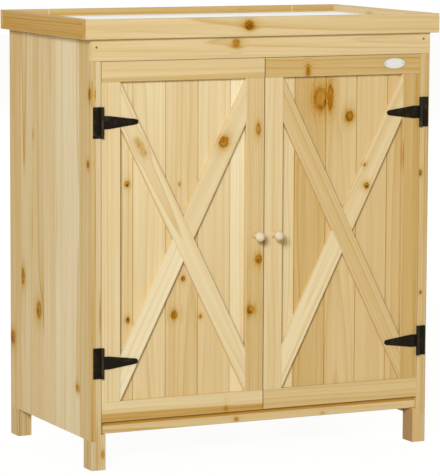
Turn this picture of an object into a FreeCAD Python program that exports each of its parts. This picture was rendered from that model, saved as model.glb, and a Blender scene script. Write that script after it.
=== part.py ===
import FreeCAD, Part
import math
import os

# A garden storage cabinet in planed pine. A worktop tray with a sheet metal top stands on four legs,
# with boarded sides and back, a floor, one shelf and two framed doors with crossed braces.
# Sizes are in millimetres. X runs to the right, Y to the back and Z up from the floor.
# The origin lies on the floor, under the middle of the whole object with its knobs.

# Whole object
TOP_WIDTH = 750.0
TOP_DEPTH = 432.0
HEIGHT = 850.0

# Worktop tray
RIM_HEIGHT = 37.5
RIM_THICK = 14.0
SIDE_OVERHANG = 15.5
FRONT_OVERHANG = 8.5
BACK_OVERHANG = 7.5
SHEET_RECESS = 13.0
SHEET_THICK = 0.8
DECK_THICK = 12.0
DECK_BOARDS = 6
BATTEN_WIDTH = 38.0

# Boards with a tongue on one edge and a groove on the other
TONGUE_THICK = 3.0
TONGUE_REACH = 4.0
JOINT_CLEARANCE = 0.3
JOINT_BEVEL = 1.0
CLAD_THICK = 9.0
SIDE_BOARDS = 7
BACK_THICK = 9.0
BACK_BOARDS = 10
FLOOR_THICK = 7.7
FLOOR_BOARDS = 10
SHELF_THICK = 9.0
SHELF_BOARDS = 5

# Legs: a post with a rebate in its front inner corner above the foot, where a door or the back closes
POST_FACE = 11.0
STOP_WIDTH = 8.5
LEG_DEPTH = 40.0
STOP_GAP = 0.6

# Rails
EASE = 0.8
FIT = 0.3
CLAD_BOTTOM = 55.5
APRON_HEIGHT = 41.0
APRON_THICK = 12.0
HEAD_RAIL_DROP = 10.5
HEAD_RAIL_THICK = 20.0
SILL_BOTTOM = 68.0
SILL_HEIGHT = 15.0
SILL_DEPTH = 38.0
SILL_SETBACK = 7.6
FLOOR_SETBACK = 8.8
SIDE_RAIL_HEIGHT = 38.0
BACK_RAIL_HEIGHT = 38.0
BACK_RAIL_THICK = 18.0
LEDGER_SIZE = 18.0
SHELF_LEVEL = 429.0
SHELF_SETBACK = 60.0
SHELF_BATTEN_THICK = 12.0

# Doors
PANEL_THICK = 10.0
FRAME_THICK = 9.0
DOOR_SIDE_GAP = 0.8
DOOR_CENTRE_GAP = 2.4
DOOR_TOP_GAP = 0.7
DOOR_FLOOR_GAP = 0.8
DOOR_BOARDS = 5
STILE_WIDTH = 38.0
RAIL_WIDTH = 38.0
BRACE_WIDTH = 38.0

# Hinges: a leaf on the post, a tapered strap on the door and a pin
PLATE_THICK = 1.6
LEAF_WIDTH = 17.5
LEAF_HEIGHT = 58.5
STRAP_LENGTH = 74.0
STRAP_ROOT = 24.5
STRAP_SHOULDER = 15.0
STRAP_TIP_RADIUS = 5.0
BARREL_RADIUS = 3.4
BARREL_CLEARANCE = 0.2
KNUCKLE_GAP = 0.3
KNUCKLE_NOTCH = 0.3
PIN_RADIUS = 1.6
PIN_CLEARANCE = 0.05
HINGE_FROM_DOOR_END = 113.0
LEAF_HOLE_INSET = 8.75
LEAF_HOLE_PITCH = 42.0
STRAP_HOLES = (11.0, 34.0, 62.0)
HOLE_RADIUS = 1.7

# Knobs
KNOB_RADIUS = 9.75
KNOB_REACH = 33.5
KNOB_BASE_RADIUS = 6.0
KNOB_NECK_RADIUS = 4.8
KNOB_FROM_EDGE = 19.0

# Magnetic catches under the head rail, and the strike plates that they hold
CATCH_WIDTH = 40.0
CATCH_DEPTH = 14.0
CATCH_HEIGHT = 14.0
CATCH_FROM_CENTRE = 26.0
CATCH_GAP = 0.4
STRIKE_WIDTH = 36.0
STRIKE_HEIGHT = 12.0
STRIKE_THICK = 0.8

# Planes that the pieces share
CARCASS_DEPTH = TOP_DEPTH - FRONT_OVERHANG - BACK_OVERHANG
REACH = max(KNOB_REACH, FRONT_OVERHANG)
FRONT = REACH - (REACH + CARCASS_DEPTH + BACK_OVERHANG) / 2
BACK = FRONT + CARCASS_DEPTH
CLAD_OUTER = TOP_WIDTH / 2 - SIDE_OVERHANG
CLAD_INNER = CLAD_OUTER - CLAD_THICK
POST_INNER = CLAD_INNER - POST_FACE
STOP_INNER = POST_INNER - STOP_WIDTH
DOOR_THICK = PANEL_THICK + FRAME_THICK
STOP_DEPTH = DOOR_THICK + STOP_GAP
CARCASS_TOP = HEIGHT - RIM_HEIGHT
APRON_BOTTOM = CARCASS_TOP - APRON_HEIGHT
SILL_TOP = SILL_BOTTOM + SILL_HEIGHT
DOOR_BOTTOM = SILL_TOP + FLOOR_THICK + DOOR_FLOOR_GAP
DOOR_TOP = APRON_BOTTOM - DOOR_TOP_GAP
DOOR_MIDDLE = (DOOR_BOTTOM + DOOR_TOP) / 2
HEAD_RAIL_BOTTOM = DOOR_TOP - HEAD_RAIL_DROP
FRONT_LEG_REAR = FRONT + LEG_DEPTH
REAR_LEG_FRONT = BACK - LEG_DEPTH
BACK_STOP = REAR_LEG_FRONT + STOP_DEPTH
BACK_INSIDE = BACK_STOP - BACK_THICK
SHELF_BOTTOM = SHELF_LEVEL - SHELF_THICK
RIM_INNER_X = TOP_WIDTH / 2 - RIM_THICK
RIM_FRONT = FRONT - FRONT_OVERHANG
RIM_BACK = BACK + BACK_OVERHANG
SHEET_TOP = HEIGHT - SHEET_RECESS
DECK_TOP = SHEET_TOP - SHEET_THICK
DECK_BOTTOM = DECK_TOP - DECK_THICK
HINGE_X = POST_INNER - DOOR_SIDE_GAP / 2
HINGE_Y = FRONT - BARREL_RADIUS - BARREL_CLEARANCE


def vec(x, y, z):
    return FreeCAD.Vector(x, y, z)


def box(x0, x1, y0, y1, z0, z1):
    return Part.makeBox(x1 - x0, y1 - y0, z1 - z0, vec(x0, y0, z0))


def prism(points, run):
    """A straight prism: the closed outline through the points, swept along run."""
    outline = Part.makePolygon(points + points[:1])
    return Part.Face(outline).extrude(run)


def mirrored(shape):
    """The same shape on the other side of the cabinet."""
    return shape.mirror(vec(0, 0, 0), vec(1, 0, 0))


def group(shapes):
    """Several separate solids kept together as one node."""
    solids = []
    for shape in shapes:
        solids.extend(shape.Solids)
    return Part.makeCompound(solids)


def eased_outline(a0, a1, b0, b1):
    """A rectangle with its four corners taken off by the easing of planed timber."""
    return [(a0 + EASE, b0), (a1 - EASE, b0), (a1, b0 + EASE), (a1, b1 - EASE),
            (a1 - EASE, b1), (a0 + EASE, b1), (a0, b1 - EASE), (a0, b0 + EASE)]


def timber_x(x0, x1, y0, y1, z0, z1):
    points = [vec(x0, y, z) for y, z in eased_outline(y0, y1, z0, z1)]
    return prism(points, vec(x1 - x0, 0, 0))


def timber_y(x0, x1, y0, y1, z0, z1):
    points = [vec(x, y0, z) for x, z in eased_outline(x0, x1, z0, z1)]
    return prism(points, vec(0, y1 - y0, 0))


def timber_z(x0, x1, y0, y1, z0, z1):
    points = [vec(x, y, z0) for x, y in eased_outline(x0, x1, y0, y1)]
    return prism(points, vec(0, 0, z1 - z0))


def board_outline(width, thick, tongue, groove):
    """The section of one board: u across its width, v from its back to its bevelled face."""
    low = (thick - TONGUE_THICK) / 2
    high = (thick + TONGUE_THICK) / 2
    slack = JOINT_CLEARANCE / 2
    points = [(0, 0), (width, 0)]
    if groove:
        depth = TONGUE_REACH + JOINT_CLEARANCE
        points += [(width, low - slack), (width - depth, low - slack),
                   (width - depth, high + slack), (width, high + slack)]
    points += [(width, thick - JOINT_BEVEL), (width - JOINT_BEVEL, thick),
               (JOINT_BEVEL, thick), (0, thick - JOINT_BEVEL)]
    if tongue:
        points += [(0, high), (-TONGUE_REACH, high), (-TONGUE_REACH, low), (0, low)]
    return points


def board_row(count, start, end, thick, place, run):
    """Boards side by side from start to end, each tongue in its neighbour's groove."""
    pitch = (end - start) / count
    boards = []
    for index in range(count):
        left = start + index * pitch + JOINT_CLEARANCE / 2
        outline = board_outline(pitch - JOINT_CLEARANCE, thick, index > 0, index < count - 1)
        boards.append(prism([place(left + u, v) for u, v in outline], run))
    return boards


# Legs and what stands on them

def leg(y0):
    """A left leg, from its front face at y0. The sill or the back stands on the rebate's shoulder."""
    foot = timber_z(-CLAD_INNER, -STOP_INNER, y0, y0 + LEG_DEPTH, 0, SILL_BOTTOM)
    outline = [(-CLAD_INNER + EASE, y0), (-POST_INNER - EASE, y0), (-POST_INNER, y0 + EASE),
               (-POST_INNER, y0 + STOP_DEPTH), (-STOP_INNER - EASE, y0 + STOP_DEPTH),
               (-STOP_INNER, y0 + STOP_DEPTH + EASE), (-STOP_INNER, y0 + LEG_DEPTH - EASE),
               (-STOP_INNER - EASE, y0 + LEG_DEPTH), (-CLAD_INNER + EASE, y0 + LEG_DEPTH),
               (-CLAD_INNER, y0 + LEG_DEPTH - EASE), (-CLAD_INNER, y0 + EASE)]
    post = prism([vec(x, y, SILL_BOTTOM) for x, y in outline], vec(0, 0, CARCASS_TOP - SILL_BOTTOM))
    return foot.fuse(post).removeSplitter()


def apron_space():
    """The room that the apron takes from the front legs and from the side boards."""
    return box(-CLAD_OUTER, CLAD_OUTER, FRONT, FRONT + APRON_THICK, APRON_BOTTOM, CARCASS_TOP)


def foot_blocks():
    """Blocks under the side boards, which bring each leg out to the boards' face."""
    blocks = []
    for y0 in (FRONT, REAR_LEG_FRONT):
        block = timber_z(-CLAD_OUTER, -CLAD_INNER, y0, y0 + LEG_DEPTH, 0, CLAD_BOTTOM)
        blocks += [block, mirrored(block)]
    return group(blocks)


def side_boards():
    """The left side: upright boards over the outside of both legs."""
    def place(u, v):
        return vec(-CLAD_INNER - v, u, CLAD_BOTTOM)
    run = vec(0, 0, CARCASS_TOP - CLAD_BOTTOM)
    boards = board_row(SIDE_BOARDS, FRONT, BACK, CLAD_THICK, place, run)
    return group([board.cut(apron_space()) for board in boards])


def side_rails():
    """Rails between the left legs: they carry the side boards, the shelf and the floor."""
    levels = ((CARCASS_TOP - SIDE_RAIL_HEIGHT, CARCASS_TOP),
              (SHELF_BOTTOM - SIDE_RAIL_HEIGHT, SHELF_BOTTOM),
              (CLAD_BOTTOM, SILL_TOP))
    return group([timber_y(-CLAD_INNER, -STOP_INNER, FRONT_LEG_REAR, REAR_LEG_FRONT, low, high)
                  for low, high in levels])


# Front rails

def front_apron():
    return timber_x(-CLAD_OUTER, CLAD_OUTER, FRONT, FRONT + APRON_THICK, APRON_BOTTOM, CARCASS_TOP)


def head_rail():
    """The rail behind the apron that the doors close against."""
    y0 = FRONT + STOP_DEPTH
    return timber_x(-STOP_INNER, STOP_INNER, y0, y0 + HEAD_RAIL_THICK, HEAD_RAIL_BOTTOM, CARCASS_TOP)


def front_sill():
    """The flat rail under the doors, notched at both ends round the legs' stops."""
    y0 = FRONT + SILL_SETBACK
    sill = timber_x(-POST_INNER, POST_INNER, y0, y0 + SILL_DEPTH, SILL_BOTTOM, SILL_TOP)
    notch = box(-POST_INNER, -STOP_INNER, FRONT + STOP_DEPTH, y0 + SILL_DEPTH, SILL_BOTTOM, SILL_TOP)
    return sill.cut([notch, mirrored(notch)])


# Back

def back_boards():
    def place(u, v):
        return vec(u, BACK_INSIDE + v, SILL_BOTTOM)
    run = vec(0, 0, CARCASS_TOP - SILL_BOTTOM)
    return group(board_row(BACK_BOARDS, -POST_INNER, POST_INNER, BACK_THICK, place, run))


def back_rails():
    """Three rails between the rear legs, behind the boards that are nailed to them."""
    bottoms = (CARCASS_TOP - BACK_RAIL_HEIGHT, SHELF_BOTTOM - BACK_RAIL_HEIGHT, SILL_BOTTOM)
    y1 = BACK_STOP + BACK_RAIL_THICK
    return group([timber_x(-STOP_INNER, STOP_INNER, BACK_STOP, y1, z0, z0 + BACK_RAIL_HEIGHT)
                  for z0 in bottoms])


def floor_ledger():
    """The strip between the side rails that carries the rear ends of the floor boards."""
    return timber_x(-STOP_INNER, STOP_INNER, BACK_INSIDE - LEDGER_SIZE, BACK_INSIDE,
                    SILL_TOP - LEDGER_SIZE, SILL_TOP)


# Floor and shelf

def leg_spaces():
    """The room round the legs that the floor and the shelf are notched for."""
    front = box(-CLAD_OUTER, -POST_INNER + FIT, FRONT, FRONT_LEG_REAR + FIT, 0, CARCASS_TOP)
    stop = box(-CLAD_OUTER, -STOP_INNER + FIT, FRONT + STOP_DEPTH - FIT, FRONT_LEG_REAR + FIT,
               0, CARCASS_TOP)
    rear = box(-CLAD_OUTER, -POST_INNER + FIT, REAR_LEG_FRONT - FIT, BACK, 0, CARCASS_TOP)
    left = [front, stop, rear]
    return left + [mirrored(space) for space in left]


def floor_boards():
    """Boards from front to back, whose front ends show between the sill and the doors."""
    y0 = FRONT + FLOOR_SETBACK

    def place(u, v):
        return vec(u, y0, SILL_TOP + v)
    edge = CLAD_INNER - FIT
    boards = board_row(FLOOR_BOARDS, -edge, edge, FLOOR_THICK, place, vec(0, BACK_INSIDE - y0, 0))
    return group([board.cut(leg_spaces()) for board in boards])


def shelf_boards():
    edge = CLAD_INNER - FIT

    def place(u, v):
        return vec(-edge, u, SHELF_BOTTOM + v)
    boards = board_row(SHELF_BOARDS, FRONT + SHELF_SETBACK, BACK_INSIDE, SHELF_THICK, place,
                       vec(2 * edge, 0, 0))
    return group([board.cut(leg_spaces()) for board in boards])


def shelf_batten():
    """The batten that ties the shelf boards together from below."""
    return timber_y(-BATTEN_WIDTH / 2, BATTEN_WIDTH / 2, FRONT + SHELF_SETBACK, BACK_INSIDE,
                    SHELF_BOTTOM - SHELF_BATTEN_THICK, SHELF_BOTTOM)


# Worktop tray

def tray_front():
    return timber_x(-TOP_WIDTH / 2, TOP_WIDTH / 2, RIM_FRONT, RIM_FRONT + RIM_THICK, CARCASS_TOP, HEIGHT)


def tray_back():
    return timber_x(-TOP_WIDTH / 2, TOP_WIDTH / 2, RIM_BACK - RIM_THICK, RIM_BACK, CARCASS_TOP, HEIGHT)


def tray_left():
    return timber_y(-TOP_WIDTH / 2, -RIM_INNER_X, RIM_FRONT + RIM_THICK, RIM_BACK - RIM_THICK,
                    CARCASS_TOP, HEIGHT)


def deck_battens():
    """Battens from front to back between the carcass and the deck boards."""
    y0 = RIM_FRONT + RIM_THICK + FIT
    y1 = RIM_BACK - RIM_THICK - FIT
    side = CLAD_OUTER - BATTEN_WIDTH / 2
    return group([timber_y(x - BATTEN_WIDTH / 2, x + BATTEN_WIDTH / 2, y0, y1, CARCASS_TOP, DECK_BOTTOM)
                  for x in (-side, 0, side)])


def deck_boards():
    edge = RIM_INNER_X - FIT

    def place(u, v):
        return vec(-edge, u, DECK_BOTTOM + v)
    return group(board_row(DECK_BOARDS, RIM_FRONT + RIM_THICK + FIT, RIM_BACK - RIM_THICK - FIT,
                           DECK_THICK, place, vec(2 * edge, 0, 0)))


def worktop_sheet():
    edge = RIM_INNER_X - FIT
    return box(-edge, edge, RIM_FRONT + RIM_THICK + FIT, RIM_BACK - RIM_THICK - FIT, DECK_TOP, SHEET_TOP)


# Hinges, for the left door: the right door's are their mirror images

def upright(radius, z0, z1):
    """A cylinder on the left door's hinge axis."""
    return Part.makeCylinder(radius, z1 - z0, vec(-HINGE_X, HINGE_Y, z0))


def plate_hole(x, z):
    """The room that a screw hole takes from a hinge plate."""
    return Part.makeCylinder(HOLE_RADIUS, PLATE_THICK, vec(x, FRONT - PLATE_THICK, z), vec(0, 1, 0))


def hinge_leaf(level):
    """The plate on the post with the top and bottom knuckles, open between them."""
    plate = box(-HINGE_X - LEAF_WIDTH, -HINGE_X, FRONT - PLATE_THICK, FRONT,
                level - LEAF_HEIGHT / 2, level + LEAF_HEIGHT / 2)
    leaf = plate.fuse(upright(BARREL_RADIUS, level - LEAF_HEIGHT / 2, level + LEAF_HEIGHT / 2))
    half_gap = STRAP_ROOT / 2 + KNUCKLE_GAP
    knuckle_room = upright(BARREL_RADIUS + KNUCKLE_NOTCH, level - half_gap, level + half_gap)
    bore = upright(PIN_RADIUS + PIN_CLEARANCE, level - LEAF_HEIGHT, level + LEAF_HEIGHT)
    holes = [plate_hole(-HINGE_X - LEAF_HOLE_INSET, z)
             for z in (level - LEAF_HOLE_PITCH / 2, level + LEAF_HOLE_PITCH / 2)]
    return leaf.cut([knuckle_room, bore] + holes).removeSplitter()


def strap_outline(level):
    """The strap's outline: parallel at the root, then tapered to a round tip."""
    root = STRAP_ROOT / 2
    tip_x = STRAP_LENGTH - STRAP_TIP_RADIUS
    slope = math.asin((root - STRAP_TIP_RADIUS) / (tip_x - STRAP_SHOULDER))
    lean = STRAP_TIP_RADIUS * math.sin(slope)
    rise = STRAP_TIP_RADIUS * math.cos(slope)
    y = FRONT - PLATE_THICK

    def at(x, z):
        return vec(-HINGE_X + x, y, level + z)
    corners = [at(tip_x + lean, -rise), at(STRAP_SHOULDER, -root), at(0, -root),
               at(0, root), at(STRAP_SHOULDER, root), at(tip_x + lean, rise)]
    tip = Part.Arc(corners[-1], at(STRAP_LENGTH, 0), corners[0]).toShape()
    return Part.Wire(Part.makePolygon(corners).Edges + [tip])


def hinge_strap(level):
    """The tapered strap on the door, with the middle knuckle."""
    plate = Part.Face(strap_outline(level)).extrude(vec(0, PLATE_THICK, 0))
    strap = plate.fuse(upright(BARREL_RADIUS, level - STRAP_ROOT / 2, level + STRAP_ROOT / 2))
    bore = upright(PIN_RADIUS + PIN_CLEARANCE, level - STRAP_ROOT, level + STRAP_ROOT)
    holes = [plate_hole(-HINGE_X + distance, level) for distance in STRAP_HOLES]
    return strap.cut([bore] + holes).removeSplitter()


def hinge_pin(level):
    """The pin through the three knuckles, flush with their ends."""
    return upright(PIN_RADIUS, level - LEAF_HEIGHT / 2, level + LEAF_HEIGHT / 2)


def left_hinges():
    """The leaves, straps and pins of the left door's lower and upper hinge."""
    levels = (DOOR_BOTTOM + HINGE_FROM_DOOR_END, DOOR_TOP - HINGE_FROM_DOOR_END)
    return {"hinge_leaves": group([hinge_leaf(level) for level in levels]),
            "hinge_straps": group([hinge_strap(level) for level in levels]),
            "hinge_pins": group([hinge_pin(level) for level in levels])}


# Doors

def frame_bar(start, end, width):
    """A bar on the front of the boards between two points (x, z), its front edges eased."""
    along = vec(end[0] - start[0], 0, end[1] - start[1])
    across = vec(-along.z, 0, along.x).normalize()
    back = FRONT + FRAME_THICK
    half = width / 2
    outline = [(-half, back), (half, back), (half, FRONT + EASE), (half - EASE, FRONT),
               (EASE - half, FRONT), (-half, FRONT + EASE)]
    points = [vec(start[0], y, start[1]) + across * a for a, y in outline]
    return prism(points, along)


def brace_slope(width, height):
    """The slope at which a brace's two edges run exactly from corner to corner."""
    diagonal = math.sqrt(height ** 2 + width ** 2 - BRACE_WIDTH ** 2)
    return (height * width - BRACE_WIDTH * diagonal) / (width ** 2 - BRACE_WIDTH ** 2)


def door_braces(x0, x1, z0, z1):
    """The unbroken brace from top left to bottom right, and the two halves that cross it."""
    slope = brace_slope(x1 - x0, z1 - z0)
    overrun = BRACE_WIDTH
    middle_x = (x0 + x1) / 2
    middle_z = (z0 + z1) / 2
    reach_x = (x1 - x0) / 2 + overrun
    reach_z = reach_x * slope
    opening = box(x0, x1, FRONT, FRONT + FRAME_THICK, z0, z1)
    falling = frame_bar((middle_x - reach_x, middle_z + reach_z), (middle_x + reach_x, middle_z - reach_z),
                        BRACE_WIDTH)
    rising = frame_bar((middle_x - reach_x, middle_z - reach_z), (middle_x + reach_x, middle_z + reach_z),
                       BRACE_WIDTH)
    length = math.hypot(reach_x, reach_z)
    band = Part.makeBox(2 * length, FRAME_THICK, BRACE_WIDTH, vec(-length, 0, -BRACE_WIDTH / 2))
    band.rotate(vec(0, 0, 0), vec(0, 1, 0), math.degrees(math.atan(slope)))
    band.translate(vec(middle_x, FRONT, middle_z))
    return falling.common(opening), rising.common(opening).cut(band)


def knob(x):
    """A turned knob on the door's face: a foot, a neck and a ball."""
    centre = KNOB_REACH - KNOB_RADIUS
    neck_end = centre - math.sqrt(KNOB_RADIUS ** 2 - KNOB_NECK_RADIUS ** 2)

    def at(distance, radius):
        return vec(x + radius, FRONT - distance, DOOR_MIDDLE)
    foot = Part.Arc(at(0, KNOB_BASE_RADIUS), at(neck_end / 3, KNOB_NECK_RADIUS + EASE / 2),
                    at(neck_end, KNOB_NECK_RADIUS)).toShape()
    ball = Part.Arc(at(neck_end, KNOB_NECK_RADIUS), at(centre, KNOB_RADIUS), at(KNOB_REACH, 0)).toShape()
    ends = Part.makePolygon([at(KNOB_REACH, 0), at(0, 0), at(0, KNOB_BASE_RADIUS)]).Edges
    return Part.Face(Part.Wire([foot, ball] + ends)).revolve(at(0, 0), vec(0, 1, 0), 360)


def strike_plate(x):
    """The plate on the inside of a door that its catch holds."""
    middle_z = HEAD_RAIL_BOTTOM - CATCH_HEIGHT / 2
    y0 = FRONT + DOOR_THICK
    return box(x - STRIKE_WIDTH / 2, x + STRIKE_WIDTH / 2, y0, y0 + STRIKE_THICK,
               middle_z - STRIKE_HEIGHT / 2, middle_z + STRIKE_HEIGHT / 2)


def door_catch(x):
    """A magnetic catch on the underside of the head rail."""
    y0 = FRONT + DOOR_THICK + STRIKE_THICK + CATCH_GAP
    return box(x - CATCH_WIDTH / 2, x + CATCH_WIDTH / 2, y0, y0 + CATCH_DEPTH,
               HEAD_RAIL_BOTTOM - CATCH_HEIGHT, HEAD_RAIL_BOTTOM)


def door_boards(x0, x1):
    def place(u, v):
        return vec(u, FRONT + DOOR_THICK - v, DOOR_BOTTOM)
    return group(board_row(DOOR_BOARDS, x0, x1, PANEL_THICK, place, vec(0, 0, DOOR_TOP - DOOR_BOTTOM)))


def door(name, x0, x1):
    """The wooden pieces of one door. Its knob goes with the meeting stile, which carries it."""
    inner_bottom = DOOR_BOTTOM + RAIL_WIDTH
    inner_top = DOOR_TOP - RAIL_WIDTH
    left_x = x0 + STILE_WIDTH / 2
    right_x = x1 - STILE_WIDTH / 2
    long_brace, short_braces = door_braces(x0 + STILE_WIDTH, x1 - STILE_WIDTH, inner_bottom, inner_top)
    left_stile = frame_bar((left_x, inner_bottom), (left_x, inner_top), STILE_WIDTH)
    right_stile = frame_bar((right_x, inner_bottom), (right_x, inner_top), STILE_WIDTH)
    if name == "left_door":
        hinge_stile, meeting_stile, knob_x = left_stile, right_stile, x1 - KNOB_FROM_EDGE
    else:
        hinge_stile, meeting_stile, knob_x = right_stile, left_stile, x0 + KNOB_FROM_EDGE
    pieces = {
        "boards": door_boards(x0, x1),
        "top_rail": frame_bar((x0, DOOR_TOP - RAIL_WIDTH / 2), (x1, DOOR_TOP - RAIL_WIDTH / 2), RAIL_WIDTH),
        "bottom_rail": frame_bar((x0, DOOR_BOTTOM + RAIL_WIDTH / 2), (x1, DOOR_BOTTOM + RAIL_WIDTH / 2),
                                 RAIL_WIDTH),
        "hinge_stile": hinge_stile,
        "knob_stile": group([meeting_stile, knob(knob_x)]),
        "long_brace": long_brace,
        "short_braces": short_braces,
    }
    return {name + "_" + key: shape for key, shape in pieces.items()}


def build():
    """Every piece of the cabinet, by the name of its node."""
    nodes = {}

    # Both sides of the carcass, and the hinges
    sides = {"leg_front": leg(FRONT).cut(apron_space()), "leg_rear": leg(REAR_LEG_FRONT),
             "side_boards": side_boards(), "side_rails": side_rails(), "tray_end": tray_left()}
    sides.update(left_hinges())
    for name, shape in sides.items():
        nodes["left_" + name] = shape
        nodes["right_" + name] = mirrored(shape)

    # Rails, boards and worktop
    nodes["foot_blocks"] = foot_blocks()
    nodes["front_apron"] = front_apron()
    nodes["head_rail"] = head_rail()
    nodes["front_sill"] = group([front_sill()])
    nodes["back_boards"] = back_boards()
    nodes["back_rails"] = back_rails()
    nodes["floor_ledger"] = floor_ledger()
    nodes["floor_boards"] = floor_boards()
    nodes["shelf_boards"] = shelf_boards()
    nodes["shelf_batten"] = shelf_batten()
    nodes["tray_front"] = tray_front()
    nodes["tray_back"] = tray_back()
    nodes["deck_battens"] = deck_battens()
    nodes["deck_boards"] = deck_boards()
    nodes["worktop_sheet"] = worktop_sheet()
    nodes["door_catches"] = group([door_catch(-CATCH_FROM_CENTRE), door_catch(CATCH_FROM_CENTRE)])

    # Doors: both have their unbroken brace from top left to bottom right
    outer = POST_INNER - DOOR_SIDE_GAP
    inner = DOOR_CENTRE_GAP / 2
    nodes.update(door("left_door", -outer, -inner))
    nodes.update(door("right_door", inner, outer))
    nodes["left_strike_plate"] = strike_plate(-CATCH_FROM_CENTRE)
    nodes["right_strike_plate"] = strike_plate(CATCH_FROM_CENTRE)
    return nodes


os.makedirs("parts", exist_ok=True)
for node, shape in build().items():
    shape.exportStep(os.path.join("parts", node + ".step"))
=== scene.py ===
import math
import random
from collections import namedtuple

import bmesh
import bpy
from bpy.props import FloatProperty, FloatVectorProperty, PointerProperty
from bpy.types import Operator, Panel, PropertyGroup
from mathutils import Matrix, Vector


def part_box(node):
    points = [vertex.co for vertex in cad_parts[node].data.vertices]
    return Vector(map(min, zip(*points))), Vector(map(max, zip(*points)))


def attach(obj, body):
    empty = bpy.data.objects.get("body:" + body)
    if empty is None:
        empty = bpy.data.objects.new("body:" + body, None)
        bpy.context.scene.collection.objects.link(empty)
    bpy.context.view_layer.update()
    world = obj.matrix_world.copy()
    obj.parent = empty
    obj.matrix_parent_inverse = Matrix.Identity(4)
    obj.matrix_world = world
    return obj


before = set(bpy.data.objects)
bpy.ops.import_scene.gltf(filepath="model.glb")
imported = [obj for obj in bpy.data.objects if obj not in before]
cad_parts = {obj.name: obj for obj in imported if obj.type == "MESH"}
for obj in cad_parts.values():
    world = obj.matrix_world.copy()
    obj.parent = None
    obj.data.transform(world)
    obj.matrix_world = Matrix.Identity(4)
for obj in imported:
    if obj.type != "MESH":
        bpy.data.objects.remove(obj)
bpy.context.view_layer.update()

bl_info = {
    "name": "Garden storage cabinet",
    "version": (1, 0, 0),
    "blender": (4, 5, 0),
    "location": "View3D > Sidebar > Cabinet",
    "description": "Gives the garden storage cabinet its pine, metal, small fittings and studio",
    "category": "Object",
}

# Places and sizes, in metres
MM = 0.001
X_AXIS = Vector((1, 0, 0))
Y_AXIS = Vector((0, 1, 0))
Z_AXIS = Vector((0, 0, 1))
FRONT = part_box("front_apron")[0].y
DOOR_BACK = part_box("left_door_boards")[1].y
DOOR_MIDDLE = (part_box("left_door_boards")[0].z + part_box("left_door_boards")[1].z) / 2
BOARD_CLEARANCE = 0.3 * MM
SIDES = (("left", -1), ("right", 1))
FRAME_THICK = 9 * MM
BRACE_WIDTH = 38 * MM

# The hinges' plates and the screw holes in them
LEAF_FACE = FRONT - 1.6 * MM
LEAF_WIDTH = 17.5 * MM
LEAF_HEIGHT = 58.5 * MM
LEAF_HOLE_INSET = 8.75 * MM
LEAF_HOLE_PITCH = 42 * MM
STRAP_HOLES = (11 * MM, 34 * MM, 62 * MM)
BARREL_REACH = 3.4 * MM

# Small pieces on the front
NAILS = (Vector((-349.3 * MM, FRONT, 797.8 * MM)), Vector((345.1 * MM, FRONT, 800.4 * MM)))
PLATE_MIDDLE = Vector((280.4 * MM, FRONT, 754 * MM))
PIN_FROM_MIDDLE = 19 * MM
PIN_RADIUS = 1.1 * MM

# The lamps, each with its place, size and setting for its power, and the photograph's viewpoint
LAMP_TARGET = Vector((0, 0, 0.45))
LAMPS = {
    "key_light": (Vector((-5.69, -7.555, 3.9)), 2.4, "key_power"),
    "side_light": (Vector((-7.0, 0.9, 1.6)), 2.0, "side_power"),
    "back_light": (Vector((4.6, 5.2, 2.6)), 3.0, "back_power"),
    "fill_light": (Vector((4.2, -4.4, 2.0)), 2.5, "fill_power"),
}
CAMERA_PLACE = Vector((-2.4398, -5.1060, 1.1119))
CAMERA_TURNS = (25.532, 7.144, 0.272)
FLOOR_REACH = 14
FLOOR_GLOW = 1.085
FLOOR_GLOW_SHARE = 0.88


def srgb(code):
    """A hex colour as the linear values that shaders work with."""
    parts = [int(code[start:start + 2], 16) / 255 for start in (0, 2, 4)]
    return tuple(part / 12.92 if part <= 0.04045 else ((part + 0.055) / 1.055) ** 2.4
                 for part in parts)


def dimmed(colour, share):
    return tuple(part * share for part in colour)


# What a user would change

def a_colour(name, description, code):
    return FloatVectorProperty(name=name, description=description, default=srgb(code),
                               min=0, max=1, size=3, subtype="COLOR")


def a_length(name, description, default):
    return FloatProperty(name=name, description=description, default=default, min=0,
                         unit="LENGTH", subtype="DISTANCE")


def a_power(name, description, default):
    return FloatProperty(name=name, description=description, default=default, min=0,
                         unit="POWER")


class CabinetPine(PropertyGroup):
    """The planed pine of every timber."""
    cream: a_colour("Cream", "The palest sapwood", "EEE2C3")
    pale: a_colour("Pale", "Pale sapwood", "E5D4AB")
    straw: a_colour("Straw", "The usual tone of a board", "D8BF8E")
    honey: a_colour("Honey", "A darker board", "C8A86C")
    amber: a_colour("Amber", "Heartwood and the surround of a knot", "B88B3A")
    knot_brown: a_colour("Knot brown", "The body of a knot", "A46C14")
    knot_heart: a_colour("Knot heart", "The dark ring and heart of a knot", "66400A")
    worn: a_colour("Worn edge", "Arrises and sawn edges", "D4C098")
    knob_beige: a_colour("Knob beige", "The close-grained wood of the knobs", "DCCBB4")
    ring_spacing: a_length("Ring spacing", "Distance between growth rings", 5.2 * MM)
    grain_relief: a_length("Grain relief", "Height of the grain on a face", 0.35 * MM)


class CabinetMetal(PropertyGroup):
    """The hinges, the sheet, the zinc fittings and the catches."""
    hinge_black: a_colour("Hinge black", "Coated steel of the hinges", "19150B")
    sheet_grey: a_colour("Sheet grey", "Galvanised sheet of the worktop", "F0F3F2")
    zinc: a_colour("Zinc", "Screws and strike plates", "B9BABA")
    catch_white: a_colour("Catch", "Plastic case of the magnetic catches", "E4E2DA")


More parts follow.
